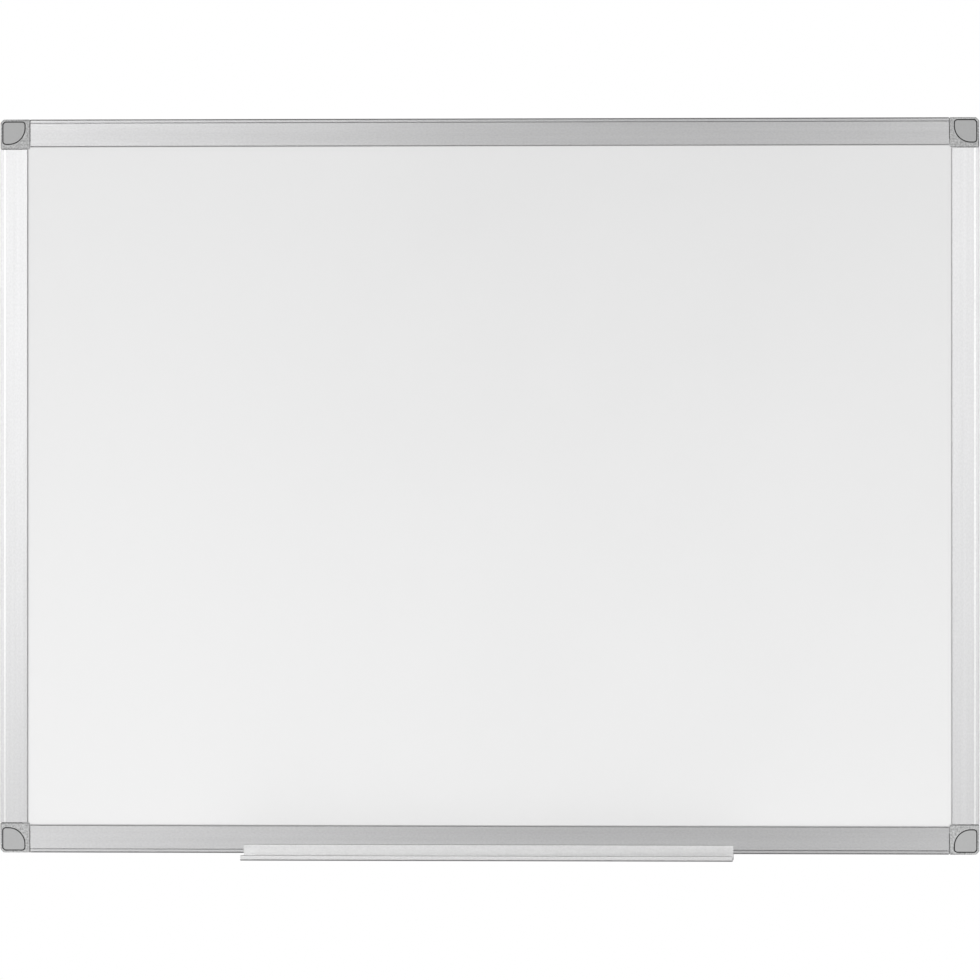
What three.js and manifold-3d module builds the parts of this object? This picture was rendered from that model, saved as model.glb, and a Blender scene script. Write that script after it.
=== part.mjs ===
// A wall-hung melamine whiteboard: a bonded panel in an aluminium frame with moulded corners,
// snap-on corner caps and a pen tray that hooks into the bottom rail.
// Millimetres, +Z up, the writing face towards -Y, the wall at y = 0 and the origin midway
// between the four wall screws.

import * as THREE from 'three';
import { mergeVertices } from 'three/addons/utils/BufferGeometryUtils.js';
import Module from 'manifold-3d';

const wasm = await Module();
wasm.setup();

// The whole board
const BOARD_WIDTH = 600;
const BOARD_HEIGHT = 450;

// Clearances and the overrun of every cut
const SEAT_GAP = 0.3;
const GLUE_LINE = 0.2;
const CUT_OVERRUN = 1;

// The panel's three sheets
const SURFACE_THICKNESS = 0.8;
const CORE_THICKNESS = 7;
const BACKING_THICKNESS = 0.5;

// The frame extrusion: walls
const RAIL_WIDTH = 17;
const FRONT_WALL = 1.3;
const OUTER_WALL = 1.3;
const BACK_WALL = 1.3;
const WEB_WALL = 1.2;
const PANEL_REBATE = 4;
const REAR_FLANGE = 1.1;
const REAR_FLANGE_REACH = 3;
const REAR_SETBACK = 2.3;
const FRONT_EDGE_RADIUS = 0.6;
const INSIDE_RADIUS = 0.25;

// The frame extrusion: the undercut groove behind its outer lip
const OUTER_LIP = 2.1;
const GROOVE_MOUTH = 1.2;
const GROOVE_UNDERCUT = 1;
const GROOVE_POCKET = 1.6;
const GROOVE_WALL = 1;

// The moulded corner block
const BLOCK_OVERLAP = 1;
const BLOCK_PROUD = 0.4;
const BLOCK_CORNER_RADIUS = 3.4;
const BLOCK_EDGE_RADIUS = 0.4;
const TENON_LENGTH = 24;
const TENON_LEAD_IN = 2;
const TENON_TAPER = 0.6;
const TENON_SLOT = 1.8;
const TENON_FLOOR = 6;
const CORING_WALL = 1.8;
const CORING_DEPTH = 5.5;
const RIB_THICKNESS = 1.4;

// The cap's recess and the screw well under it
const RECESS_MARGIN = 1.25;
const RECESS_INNER_MARGIN = 2.55;
const RECESS_DEPTH = 1.6;
const RECESS_ARC_RADIUS = 10.4;
const RECESS_SIDE_RADIUS = 2.2;
const RECESS_OUTER_RADIUS = 2.6;
const WELL_RADIUS = 5;
const WELL_LAND = 1.55;
const WELL_DEPTH = 5;
const COUNTERSINK_RADIUS = 4.4;
const COUNTERSINK_DEPTH = 1.9;
const WALL_SCREW_HOLE_RADIUS = 2.5;
const BOSS_WALL = 1.8;

// The corner cap
const CAP_GAP = 0.45;
const CAP_PROUD = 0.15;
const CAP_EDGE_RADIUS = 0.4;
const PEG_RADIUS = 0.9;
const PEG_TIP_RADIUS = 0.7;
const PEG_LENGTH = 3;
const PEG_INSET = 2.1;

// The frame screws
const SCREW_HEAD_RADIUS = 2.7;
const SCREW_HEAD_RIM = 0.2;
const SCREW_HEAD_HEIGHT = 1.6;
const SCREW_SHANK_RADIUS = 1.35;
const SCREW_LENGTH = 6.5;
const SCREW_TIP = 1.6;
const SCREW_SINK = 0.15;
const SCREW_FIT = 0.2;
const SCREW_FROM_RAIL_END = 12;

// The pen tray
const TRAY_LENGTH = 300;
const TRAY_WALL = 1.1;
const TRAY_COVER = 5.5;
const TRAY_DROP = 3.5;
const TRAY_REACH = 26;
const TRAY_LIP_HEIGHT = 3.3;
const TRAY_LIP_WALL = 1;
const TRAY_BEND_RADIUS = 1.2;
const TRAY_EDGE_RADIUS = 0.3;
const HEEL_REACH = 6;
const HEEL_WALL = 1;

// Heights off the wall, worked out from the sheets and walls
const PANEL_THICKNESS = SURFACE_THICKNESS + GLUE_LINE + CORE_THICKNESS + GLUE_LINE + BACKING_THICKNESS;
const SLOT_BACK = REAR_SETBACK + REAR_FLANGE;
const SLOT_FRONT = SLOT_BACK + SEAT_GAP + PANEL_THICKNESS + SEAT_GAP;
const FRAME_DEPTH = SLOT_FRONT + FRONT_WALL;
const POCKET_FLOOR = SLOT_FRONT - GROOVE_POCKET;
const CHAMBER_SHOULDER = POCKET_FLOOR - GROOVE_WALL;
const BLOCK_FRONT = FRAME_DEPTH + BLOCK_PROUD;
const RECESS_FLOOR = BLOCK_FRONT - RECESS_DEPTH;

// Distances from the board's outer edge, worked out from the extrusion
const WEB_FACE = RAIL_WIDTH - PANEL_REBATE;
const CHAMBER_INNER = WEB_FACE - WEB_WALL;
const GROOVE_BACK_EDGE = OUTER_LIP - GROOVE_UNDERCUT;
const GROOVE_FAR_EDGE = OUTER_LIP + GROOVE_MOUTH;
const CHAMBER_NECK = GROOVE_FAR_EDGE + GROOVE_WALL;
const PANEL_EDGE = WEB_FACE + SEAT_GAP;
const BLOCK_SIZE = RAIL_WIDTH + BLOCK_OVERLAP;
const RECESS_FAR = BLOCK_SIZE - RECESS_INNER_MARGIN;
const WELL_CENTRE = RECESS_MARGIN + WELL_LAND + WELL_RADIUS;
const SCREW_LINE = (OUTER_WALL + CHAMBER_INNER) / 2;
const SCREW_FROM_BOARD_END = BLOCK_SIZE + SEAT_GAP + SCREW_FROM_RAIL_END;

// Facets of round work
const FILLET_SEGMENTS = 2;
const TENON_SEGMENTS = 1;
const BLOCK_SEGMENTS = 5;
const CAP_SEGMENTS = 5;
const BEVEL_SEGMENTS = 2;
const BORE_SEGMENTS = 28;
const PEG_SEGMENTS = 12;
const SCREW_SEGMENTS = 18;

// Surfaces
const ANODISED_RAIL = { color: 0xb9babb, roughness: 0.42, metalness: 0.9 };
const ANODISED_STILE = { color: 0xdcdddd, roughness: 0.42, metalness: 0.9 };
const ANODISED_TRAY = { color: 0xd6d6d6, roughness: 0.38, metalness: 0.9 };
const MELAMINE = { color: 0xe9e9e9, roughness: 0.22, metalness: 0 };
const FIBREBOARD = { color: 0x9c7c57, roughness: 0.9, metalness: 0 };
const BACKING_FOIL = { color: 0xc9c7c2, roughness: 0.8, metalness: 0 };
const BLOCK_PLASTIC = { color: 0xaeafaf, roughness: 0.6, metalness: 0 };
const CAP_PLASTIC = { color: 0xb1b1b1, roughness: 0.45, metalness: 0 };
const ZINC = { color: 0xb8bcc0, roughness: 0.35, metalness: 1 };

// A closed outline through [x, y] or [x, y, radius] corners, each rounded by an arc of its own
// radius or, with none, left sharp
function roundedOutline(corners, path) {
  const count = corners.length;
  const pointAt = (i) => new THREE.Vector2(corners[i % count][0], corners[i % count][1]);
  for (let i = 0; i < count; i += 1) {
    const here = pointAt(i);
    const radius = corners[i][2];
    if (radius === undefined) {
      if (i === 0) path.moveTo(here.x, here.y);
      else path.lineTo(here.x, here.y);
      continue;
    }
    const back = pointAt(i + count - 1).sub(here).normalize();
    const ahead = pointAt(i + 1).sub(here).normalize();
    const halfAngle = Math.acos(THREE.MathUtils.clamp(back.dot(ahead), -1, 1)) / 2;
    const run = radius / Math.tan(halfAngle);
    const arcStart = here.clone().addScaledVector(back, run);
    const arcEnd = here.clone().addScaledVector(ahead, run);
    const bisector = back.clone().add(ahead).normalize();
    const centre = here.clone().addScaledVector(bisector, radius / Math.sin(halfAngle));
    const turnsRight = back.cross(ahead) > 0;
    const startAngle = arcStart.sub(centre).angle();
    const endAngle = arcEnd.sub(centre).angle();
    path.absarc(centre.x, centre.y, radius, startAngle, endAngle, turnsRight);
  }
  path.closePath();
  return path;
}

// A straight extrusion of a flat shape along its local Z
function extrusion(shape, depth, curveSegments) {
  return new THREE.ExtrudeGeometry(shape, { depth, curveSegments, bevelEnabled: false });
}

// An extrusion whose two ends are drawn in, within the same overall length
function softEndedExtrusion(shape, length, edge, inset, curveSegments, bevelSegments) {
  const geometry = new THREE.ExtrudeGeometry(shape, {
    depth: length - edge - edge,
    curveSegments,
    bevelThickness: edge,
    bevelSize: inset,
    bevelOffset: -inset,
    bevelSegments,
  });
  return geometry.translate(0, 0, edge);
}

// A turned piece about the Y axis from [radius, height] stations, the ends on the axis
function turned(stations, segments) {
  return new THREE.LatheGeometry(stations.map(([r, y]) => new THREE.Vector2(r, y)), segments);
}

// A closed geometry as a solid that can be joined and cut
function solid(geometry) {
  const bare = new THREE.BufferGeometry();
  bare.setAttribute('position', geometry.getAttribute('position'));
  bare.setIndex(geometry.getIndex());
  const welded = mergeVertices(bare);
  const index = welded.getIndex().array;
  const triVerts = [];
  for (let i = 0; i < index.length; i += 3) {
    const [a, b, c] = index.subarray(i, i + 3);
    if (a !== b && b !== c && c !== a) triVerts.push(a, b, c);
  }
  return new wasm.Manifold(new wasm.Mesh({
    numProp: 3,
    vertProperties: new Float32Array(welded.getAttribute('position').array),
    triVerts: new Uint32Array(triVerts),
  }));
}

// The finished solid as a geometry again
function geometryOf(manifold) {
  const mesh = manifold.getMesh();
  const geometry = new THREE.BufferGeometry();
  geometry.setAttribute('position', new THREE.BufferAttribute(mesh.vertProperties, 3));
  geometry.setIndex(new THREE.BufferAttribute(mesh.triVerts, 1));
  geometry.computeVertexNormals();
  return geometry;
}

function named(name, geometry, surface) {
  const material = new THREE.MeshStandardMaterial({ ...surface, flatShading: true });
  const mesh = new THREE.Mesh(geometry, material);
  mesh.name = name;
  return mesh;
}

// Axes of a rail's section: x inwards from the board's edge, y off the wall, z along the rail.
// A side group has x along its rail, z towards the middle of the board and -y to the front.
const UP = new THREE.Vector3(0, 0, 1);
const FRONT = new THREE.Vector3(0, -1, 0);
const ALONG = new THREE.Vector3(1, 0, 0);
const SECTION_IN_SIDE = new THREE.Matrix4().makeBasis(UP, FRONT, ALONG);

// Axes of a corner: x and y inwards from its two outer edges, z off the wall
const CORNER_IN_SIDE = new THREE.Matrix4().makeBasis(UP, ALONG.clone().negate(), FRONT);

// A countersunk self-tapping screw, driven from the back; with a fit it is its own hole
function screwStations(fit) {
  const headTop = fit > 0 ? -CUT_OVERRUN : SCREW_SINK;
  const shankEnd = SCREW_SINK + SCREW_LENGTH - SCREW_TIP;
  return [
    [0, headTop],
    [SCREW_HEAD_RADIUS + fit, headTop],
    [SCREW_HEAD_RADIUS + fit, SCREW_SINK + SCREW_HEAD_RIM],
    [SCREW_SHANK_RADIUS + fit, SCREW_SINK + SCREW_HEAD_HEIGHT],
    [SCREW_SHANK_RADIUS + fit, shankEnd],
    [0, shankEnd + SCREW_TIP + fit],
  ];
}

// The hollow the tenons plug into: a square chamber with a neck beside the groove's pocket
function chamberCorners(gap) {
  const low = OUTER_WALL + gap;
  const high = CHAMBER_INNER - gap;
  return {
    low,
    high,
    neck: CHAMBER_NECK + gap,
    bottom: BACK_WALL + gap,
    shoulder: CHAMBER_SHOULDER - gap,
    top: SLOT_FRONT - gap,
  };
}

// The extrusion: outer lip, undercut groove, tenon chamber and the rebate that grips the panel
function railProfile() {
  const shape = roundedOutline([
    [0, 0, FRONT_EDGE_RADIUS],
    [WEB_FACE, 0, INSIDE_RADIUS],
    [WEB_FACE, REAR_SETBACK, INSIDE_RADIUS],
    [WEB_FACE + REAR_FLANGE_REACH, REAR_SETBACK, INSIDE_RADIUS],
    [WEB_FACE + REAR_FLANGE_REACH, SLOT_BACK, INSIDE_RADIUS],
    [WEB_FACE, SLOT_BACK, INSIDE_RADIUS],
    [WEB_FACE, SLOT_FRONT, INSIDE_RADIUS],
    [RAIL_WIDTH, SLOT_FRONT, INSIDE_RADIUS],
    [RAIL_WIDTH, FRAME_DEPTH, FRONT_EDGE_RADIUS],
    [GROOVE_FAR_EDGE, FRAME_DEPTH, INSIDE_RADIUS],
    [GROOVE_FAR_EDGE, POCKET_FLOOR, INSIDE_RADIUS],
    [GROOVE_BACK_EDGE, POCKET_FLOOR, INSIDE_RADIUS],
    [GROOVE_BACK_EDGE, SLOT_FRONT, INSIDE_RADIUS],
    [OUTER_LIP, SLOT_FRONT, INSIDE_RADIUS],
    [OUTER_LIP, FRAME_DEPTH, INSIDE_RADIUS],
    [0, FRAME_DEPTH, FRONT_EDGE_RADIUS],
  ], new THREE.Shape());
  const { low, high, neck, bottom, shoulder, top } = chamberCorners(0);
  shape.holes.push(roundedOutline([
    [low, bottom, INSIDE_RADIUS],
    [high, bottom, INSIDE_RADIUS],
    [high, top, INSIDE_RADIUS],
    [neck, top, INSIDE_RADIUS],
    [neck, shoulder, INSIDE_RADIUS],
    [low, shoulder, INSIDE_RADIUS],
  ], new THREE.Path()));
  return shape;
}

// A rail or stile, cut square between two corner blocks, with its two countersunk screw holes
function rail(length) {
  const bar = extrusion(railProfile(), length, FILLET_SEGMENTS).translate(0, 0, -length / 2);
  let body = solid(bar);
  for (const end of [-1, 1]) {
    const hole = turned(screwStations(SCREW_FIT), SCREW_SEGMENTS);
    hole.translate(SCREW_LINE, 0, end * (length / 2 - SCREW_FROM_RAIL_END));
    body = body.subtract(solid(hole));
  }
  return geometryOf(body);
}

// The corner's forked tenon fills the chamber and is split lengthwise so that its prongs give
function tenonProfile() {
  const { low, high, neck, bottom, shoulder, top } = chamberCorners(SEAT_GAP);
  const slotMiddle = (neck + high) / 2;
  const slotLow = slotMiddle - TENON_SLOT / 2;
  const slotHigh = slotMiddle + TENON_SLOT / 2;
  const slotFloor = bottom + TENON_FLOOR;
  return roundedOutline([
    [low, bottom],
    [high, bottom],
    [high, top],
    [slotHigh, top],
    [slotHigh, slotFloor],
    [slotLow, slotFloor],
    [slotLow, top],
    [neck, top],
    [neck, shoulder],
    [low, shoulder],
  ], new THREE.Shape());
}

// The D outline shared by the recess and, drawn in by the gap, by the cap: three small corners
// and one large arc that faces the middle of the board
function capOutline(inset) {
  const near = RECESS_MARGIN + inset;
  const far = RECESS_FAR - inset;
  const room = far - near;
  const sideRadius = RECESS_SIDE_RADIUS - inset;
  const arcRadius = Math.min(RECESS_ARC_RADIUS - inset, room - sideRadius);
  return roundedOutline([
    [near, near, RECESS_OUTER_RADIUS - inset],
    [far, near, sideRadius],
    [far, far, arcRadius],
    [near, far, sideRadius],
  ], new THREE.Shape());
}

const PEG_PLACES = [
  [RECESS_MARGIN + PEG_INSET, RECESS_FAR - PEG_INSET],
  [RECESS_FAR - PEG_INSET, RECESS_MARGIN + PEG_INSET],
];

// One forked tenon reaching out of the block along +Y, drilled for its frame screw
function tenon() {
  const length = TENON_LEAD_IN + TENON_LENGTH;
  const leg = softEndedExtrusion(
    tenonProfile(), length, TENON_LEAD_IN, TENON_TAPER, TENON_SEGMENTS, TENON_SEGMENTS);
  const tip = BLOCK_SIZE + TENON_LENGTH;
  leg.rotateX(Math.PI / 2).translate(0, tip, 0);
  const pilot = turned(screwStations(SCREW_FIT), SCREW_SEGMENTS).rotateX(Math.PI / 2);
  pilot.translate(SCREW_LINE, SCREW_FROM_BOARD_END, 0);
  return solid(leg).subtract(solid(pilot));
}

// Pockets moulded into the block's back, around the screw boss, its ribs and the panel's seat
function coring() {
  const near = CORING_WALL;
  const far = BLOCK_SIZE - CORING_WALL;
  const seat = WEB_FACE - CORING_WALL;
  const depth = CORING_DEPTH + CUT_OVERRUN;
  const cavity = roundedOutline([
    [near, near, BLOCK_CORNER_RADIUS - CORING_WALL],
    [far, near, INSIDE_RADIUS],
    [far, seat, INSIDE_RADIUS],
    [seat, seat, INSIDE_RADIUS],
    [seat, far, INSIDE_RADIUS],
    [near, far, INSIDE_RADIUS],
  ], new THREE.Shape());
  const bossRadius = WALL_SCREW_HOLE_RADIUS + BOSS_WALL;
  const height = depth + CUT_OVERRUN;
  const middle = depth / 2 - CUT_OVERRUN;
  const boss = new THREE.CylinderGeometry(bossRadius, bossRadius, height, BORE_SEGMENTS);
  boss.rotateX(Math.PI / 2).translate(WELL_CENTRE, WELL_CENTRE, middle);
  const levelRib = new THREE.BoxGeometry(BLOCK_SIZE, RIB_THICKNESS, height);
  levelRib.translate(BLOCK_SIZE / 2, WELL_CENTRE, middle);
  const uprightRib = new THREE.BoxGeometry(RIB_THICKNESS, BLOCK_SIZE, height);
  uprightRib.translate(WELL_CENTRE, BLOCK_SIZE / 2, middle);
  let pockets = solid(extrusion(cavity, depth, FILLET_SEGMENTS).translate(0, 0, -CUT_OVERRUN));
  for (const kept of [boss, levelRib, uprightRib]) pockets = pockets.subtract(solid(kept));
  return pockets;
}

// The corner block: a rounded cube with two tenons, a D-shaped recess over the wall screw's
// well, two peg holes for the cap, a notch for the panel's corner and a cored back
function cornerBlock() {
  const outline = roundedOutline([
    [0, 0, BLOCK_CORNER_RADIUS],
    [BLOCK_SIZE, 0, BLOCK_EDGE_RADIUS],
    [BLOCK_SIZE, BLOCK_SIZE, BLOCK_EDGE_RADIUS],
    [0, BLOCK_SIZE, BLOCK_EDGE_RADIUS],
  ], new THREE.Shape());
  const cube = softEndedExtrusion(
    outline, BLOCK_FRONT, BLOCK_EDGE_RADIUS, BLOCK_EDGE_RADIUS / 2, BLOCK_SEGMENTS, BEVEL_SEGMENTS);
  const leg = tenon();
  let block = solid(cube).add(leg).add(leg.mirror([1, -1, 0]));

  const recess = extrusion(capOutline(0), RECESS_DEPTH + CUT_OVERRUN, CAP_SEGMENTS);
  block = block.subtract(solid(recess.translate(0, 0, RECESS_FLOOR)));

  const wellFloor = RECESS_FLOOR - WELL_DEPTH;
  const well = turned([
    [0, -CUT_OVERRUN],
    [WALL_SCREW_HOLE_RADIUS, -CUT_OVERRUN],
    [WALL_SCREW_HOLE_RADIUS, wellFloor - COUNTERSINK_DEPTH],
    [COUNTERSINK_RADIUS, wellFloor],
    [WELL_RADIUS, wellFloor],
    [WELL_RADIUS, RECESS_FLOOR + CUT_OVERRUN],
    [0, RECESS_FLOOR + CUT_OVERRUN],
  ], BORE_SEGMENTS);
  block = block.subtract(coring());
  block = block.subtract(solid(well.rotateX(Math.PI / 2).translate(WELL_CENTRE, WELL_CENTRE, 0)));

  const pegHoleRadius = PEG_RADIUS + SEAT_GAP;
  const pegHoleDepth = PEG_LENGTH + CUT_OVERRUN;
  for (const [x, y] of PEG_PLACES) {
    const hole = new THREE.CylinderGeometry(pegHoleRadius, pegHoleRadius, pegHoleDepth, PEG_SEGMENTS);
    hole.rotateX(Math.PI / 2).translate(x, y, RECESS_FLOOR + CUT_OVERRUN - pegHoleDepth / 2);
    block = block.subtract(solid(hole));
  }

  const notchSize = BLOCK_SIZE - WEB_FACE + CUT_OVERRUN;
  const notch = new THREE.BoxGeometry(notchSize, notchSize, SLOT_FRONT - SLOT_BACK);
  const notchMiddle = WEB_FACE + notchSize / 2;
  notch.translate(notchMiddle, notchMiddle, (SLOT_FRONT + SLOT_BACK) / 2);
  return geometryOf(block.subtract(solid(notch)));
}

// The snap-on cap: a D-shaped plate with softened edges and two pegs
function cornerCap() {
  const plateBack = RECESS_FLOOR + SEAT_GAP;
  const plateFront = BLOCK_FRONT + CAP_PROUD;
  const thickness = plateFront - plateBack;
  const plate = softEndedExtrusion(
    capOutline(CAP_GAP), thickness, CAP_EDGE_RADIUS, CAP_EDGE_RADIUS, CAP_SEGMENTS, BEVEL_SEGMENTS);
  let cap = solid(plate.translate(0, 0, plateBack));
  const height = PEG_LENGTH + CAP_EDGE_RADIUS;
  for (const [x, y] of PEG_PLACES) {
    const peg = new THREE.CylinderGeometry(PEG_RADIUS, PEG_TIP_RADIUS, height, PEG_SEGMENTS);
    peg.rotateX(Math.PI / 2).translate(x, y, plateBack + CAP_EDGE_RADIUS - height / 2);
    cap = cap.add(solid(peg));
  }
  return geometryOf(cap);
}

// The tray's extrusion on the bottom rail's section: a flange over the rail's face, a tongue
// through the groove's mouth that hooks down behind the lip, a shelf with a front lip, and a
// heel that bears up under the rail
function trayProfile() {
  const flangeBack = FRAME_DEPTH + SEAT_GAP;
  const flangeFront = flangeBack + TRAY_WALL;
  const underside = -TRAY_DROP;
  const shelf = underside + TRAY_WALL;
  const tongueLow = OUTER_LIP + SEAT_GAP;
  const tongueHigh = GROOVE_FAR_EDGE - SEAT_GAP;
  const hookTip = GROOVE_BACK_EDGE + SEAT_GAP;
  const hookFront = SLOT_FRONT - SEAT_GAP;
  const hookBack = POCKET_FLOOR + SEAT_GAP;
  const lipFront = FRAME_DEPTH + TRAY_REACH;
  const lipBack = lipFront - TRAY_LIP_WALL;
  const lipTop = underside + TRAY_LIP_HEIGHT;
  const heelBack = FRAME_DEPTH - HEEL_REACH;
  const heelFront = heelBack + HEEL_WALL;
  const tongueRadius = Math.min(INSIDE_RADIUS, (tongueHigh - tongueLow) / 4);
  return roundedOutline([
    [underside, heelBack, TRAY_EDGE_RADIUS],
    [-SEAT_GAP, heelBack, TRAY_EDGE_RADIUS],
    [-SEAT_GAP, heelFront, TRAY_EDGE_RADIUS],
    [shelf, heelFront, TRAY_EDGE_RADIUS],
    [shelf, flangeBack, TRAY_EDGE_RADIUS],
    [tongueLow, flangeBack, tongueRadius],
    [tongueLow, hookFront, tongueRadius],
    [hookTip, hookFront, tongueRadius],
    [hookTip, hookBack, tongueRadius],
    [tongueHigh, hookBack, tongueRadius],
    [tongueHigh, flangeBack, tongueRadius],
    [TRAY_COVER, flangeBack, TRAY_EDGE_RADIUS],
    [TRAY_COVER, flangeFront, TRAY_EDGE_RADIUS],
    [shelf, flangeFront, TRAY_EDGE_RADIUS],
    [shelf, lipBack, TRAY_EDGE_RADIUS],
    [lipTop, lipBack, TRAY_EDGE_RADIUS],
    [lipTop, lipFront, TRAY_EDGE_RADIUS],
    [underside, lipFront, TRAY_BEND_RADIUS],
  ], new THREE.Shape());
}

function penTray() {
  const bar = extrusion(trayProfile(), TRAY_LENGTH, FILLET_SEGMENTS);
  return bar.translate(0, 0, -TRAY_LENGTH / 2);
}

// The panel: a melamine-faced sheet and a balancing sheet bonded to a fibreboard core
function panel() {
  const group = new THREE.Group();
  const width = BOARD_WIDTH - PANEL_EDGE - PANEL_EDGE;
  const height = BOARD_HEIGHT - PANEL_EDGE - PANEL_EDGE;
  const backingBack = SLOT_BACK + SEAT_GAP;
  const coreBack = backingBack + BACKING_THICKNESS + GLUE_LINE;
  const surfaceBack = coreBack + CORE_THICKNESS + GLUE_LINE;
  const sheets = [
    ['backing_sheet', backingBack, BACKING_THICKNESS, BACKING_FOIL],
    ['core_board', coreBack, CORE_THICKNESS, FIBREBOARD],
    ['writing_surface', surfaceBack, SURFACE_THICKNESS, MELAMINE],
  ];
  for (const [name, back, thickness, surface] of sheets) {
    const sheet = named(name, new THREE.BoxGeometry(width, thickness, height), surface);
    sheet.position.y = -back - thickness / 2;
    group.add(sheet);
  }
  return group;
}

// The four sides of the frame, going round anticlockwise as seen from the front. Each carries
// its rail, the two screws of that rail and the corner block and cap at its leading end.
const SIDES = [
  { rail: 'bottom_rail', corner: 'bottom_right', ends: ['left', 'right'], turn: 0 },
  { rail: 'right_stile', corner: 'top_right', ends: ['bottom', 'top'], turn: -1 },
  { rail: 'top_rail', corner: 'top_left', ends: ['right', 'left'], turn: 2 },
  { rail: 'left_stile', corner: 'bottom_left', ends: ['top', 'bottom'], turn: 1 },
];

function frameSide({ rail: railName, corner, ends, turn }) {
  const upright = turn % 2 !== 0;
  const boardLength = upright ? BOARD_HEIGHT : BOARD_WIDTH;
  const boardAcross = upright ? BOARD_WIDTH : BOARD_HEIGHT;
  const railLength = boardLength - 2 * (BLOCK_SIZE + SEAT_GAP);
  const side = new THREE.Group();
  side.rotation.y = turn * Math.PI / 2;
  side.position.copy(UP).applyEuler(side.rotation).multiplyScalar(-boardAcross / 2);

  const bar = named(railName, rail(railLength), upright ? ANODISED_STILE : ANODISED_RAIL);
  bar.quaternion.setFromRotationMatrix(SECTION_IN_SIDE);
  side.add(bar);

  ends.forEach((end, i) => {
    const screw = named(`${railName}_screw_${end}`, turned(screwStations(0), SCREW_SEGMENTS), ZINC);
    screw.rotation.x = Math.PI;
    const fromMiddle = boardLength / 2 - SCREW_FROM_BOARD_END;
    screw.position.set(i === 0 ? -fromMiddle : fromMiddle, 0, SCREW_LINE);
    side.add(screw);
  });

  const cornerGroup = new THREE.Group();
  cornerGroup.quaternion.setFromRotationMatrix(CORNER_IN_SIDE);
  cornerGroup.position.x = boardLength / 2;
  cornerGroup.add(named(`corner_block_${corner}`, cornerBlock(), BLOCK_PLASTIC));
  cornerGroup.add(named(`corner_cap_${corner}`, cornerCap(), CAP_PLASTIC));
  side.add(cornerGroup);
  return side;
}

const whiteboard = new THREE.Group();
whiteboard.add(panel());
for (const side of SIDES) whiteboard.add(frameSide(side));

const tray = named('pen_tray', penTray(), ANODISED_TRAY);
tray.quaternion.setFromRotationMatrix(SECTION_IN_SIDE);
tray.position.z = -BOARD_HEIGHT / 2;
whiteboard.add(tray);

export default whiteboard;
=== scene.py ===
"""A wall-hung melamine whiteboard, 600 by 450 mm, in metres.

The writing face looks towards -Y and the wall is at y = 0. The pieces follow in the order in which
the board is put together: extrusions, corners, caps, panel, screws and pen tray.
"""

import math

import bmesh
import bpy
from mathutils import Matrix, Vector


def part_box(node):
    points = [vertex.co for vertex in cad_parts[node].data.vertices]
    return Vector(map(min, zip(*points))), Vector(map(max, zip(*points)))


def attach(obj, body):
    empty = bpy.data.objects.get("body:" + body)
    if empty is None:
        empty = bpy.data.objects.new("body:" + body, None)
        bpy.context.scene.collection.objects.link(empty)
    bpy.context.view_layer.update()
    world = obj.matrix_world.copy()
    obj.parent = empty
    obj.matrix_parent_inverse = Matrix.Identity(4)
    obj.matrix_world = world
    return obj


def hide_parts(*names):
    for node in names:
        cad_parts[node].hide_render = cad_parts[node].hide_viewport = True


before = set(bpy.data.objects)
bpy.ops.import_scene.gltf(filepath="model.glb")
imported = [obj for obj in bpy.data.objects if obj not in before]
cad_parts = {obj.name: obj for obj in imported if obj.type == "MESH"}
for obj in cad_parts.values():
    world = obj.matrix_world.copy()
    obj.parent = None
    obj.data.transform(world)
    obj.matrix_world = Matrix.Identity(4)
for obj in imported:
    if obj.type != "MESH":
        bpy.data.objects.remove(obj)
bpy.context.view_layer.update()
scene = bpy.context.scene

# The camera stands a little right of the board's middle, with a long lens, nearly square to it.
# Its place and turn were worked out from the photographed corners of the frame.
PHOTO_WIDTH_PX = 980
FOCAL_LENGTH_PX = 7830.29
SENSOR_WIDTH = 36.0
CAMERA_PLACE = Vector((0.2553, -4.8, -0.0124))
CAMERA_YAW = -0.05307
CAMERA_PITCH = 0.00207
CAMERA_ROLL = 0.00005

lens = bpy.data.cameras.new("camera")
lens.sensor_width = SENSOR_WIDTH
lens.lens = FOCAL_LENGTH_PX * SENSOR_WIDTH / PHOTO_WIDTH_PX
camera = bpy.data.objects.new("camera", lens)
camera.matrix_world = (
    Matrix.Translation(CAMERA_PLACE)
    @ Matrix.Rotation(-CAMERA_YAW, 4, "Z")
    @ Matrix.Rotation(math.pi / 2 + CAMERA_PITCH, 4, "X")
    @ Matrix.Rotation(CAMERA_ROLL, 4, "Z")
)
scene.collection.objects.link(camera)
scene.camera = camera

# The studio is a plain pale floor below the board and a white background. Two upright soft boxes
# stand left and right of the camera, a low one fills in and one lights the back. Only reflections
# see the cards: dark ones round the board, a grey one behind the camera, a pale one at the back.
FLOOR_HEIGHT = -1.0
FLOOR_RADIUS = 9.4
FLOOR_SIDES = 128
FLOOR_COLOUR = (0.86, 0.86, 0.86, 1)
PAINT_ROUGHNESS = 0.9
AMBIENT = 0.33
LEFT_BOX = {"place": Vector((-1.06, -3.4, 0.37)), "size": (1.4, 1.6), "power": 18.2}
RIGHT_BOX = {"place": Vector((0.8, -3.4, 0.18)), "size": (1.09, 1.76), "power": 11.9}
LOW_BOX = {"place": Vector((0.0, -1.3, -0.61)), "size": (2.1, 0.45), "power": 10.3}
BACK_BOX = {"place": Vector((0.6, 3.4, 0.9)), "size": (2.4, 1.6), "power": 40.0}
END_CARDS = {"behind_camera": (-1, 0.26), "behind_board": (1, 0.85)}
UPPER_CARD = {"height": 0.9, "middle": 0.9, "depth": 5.8, "tone": 0.16}
LOWER_CARD = {"height": -0.9, "middle": -0.5, "depth": 4.0, "tone": 0.2}
LEVEL_CARD_WIDTH = 3.0
CARD_ASIDE = 1.3
SIDE_CARD_TONE = 0.2
SIDE_CARD_DEPTH = 2.4
SIDE_CARD_HEIGHT = 1.6
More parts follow.
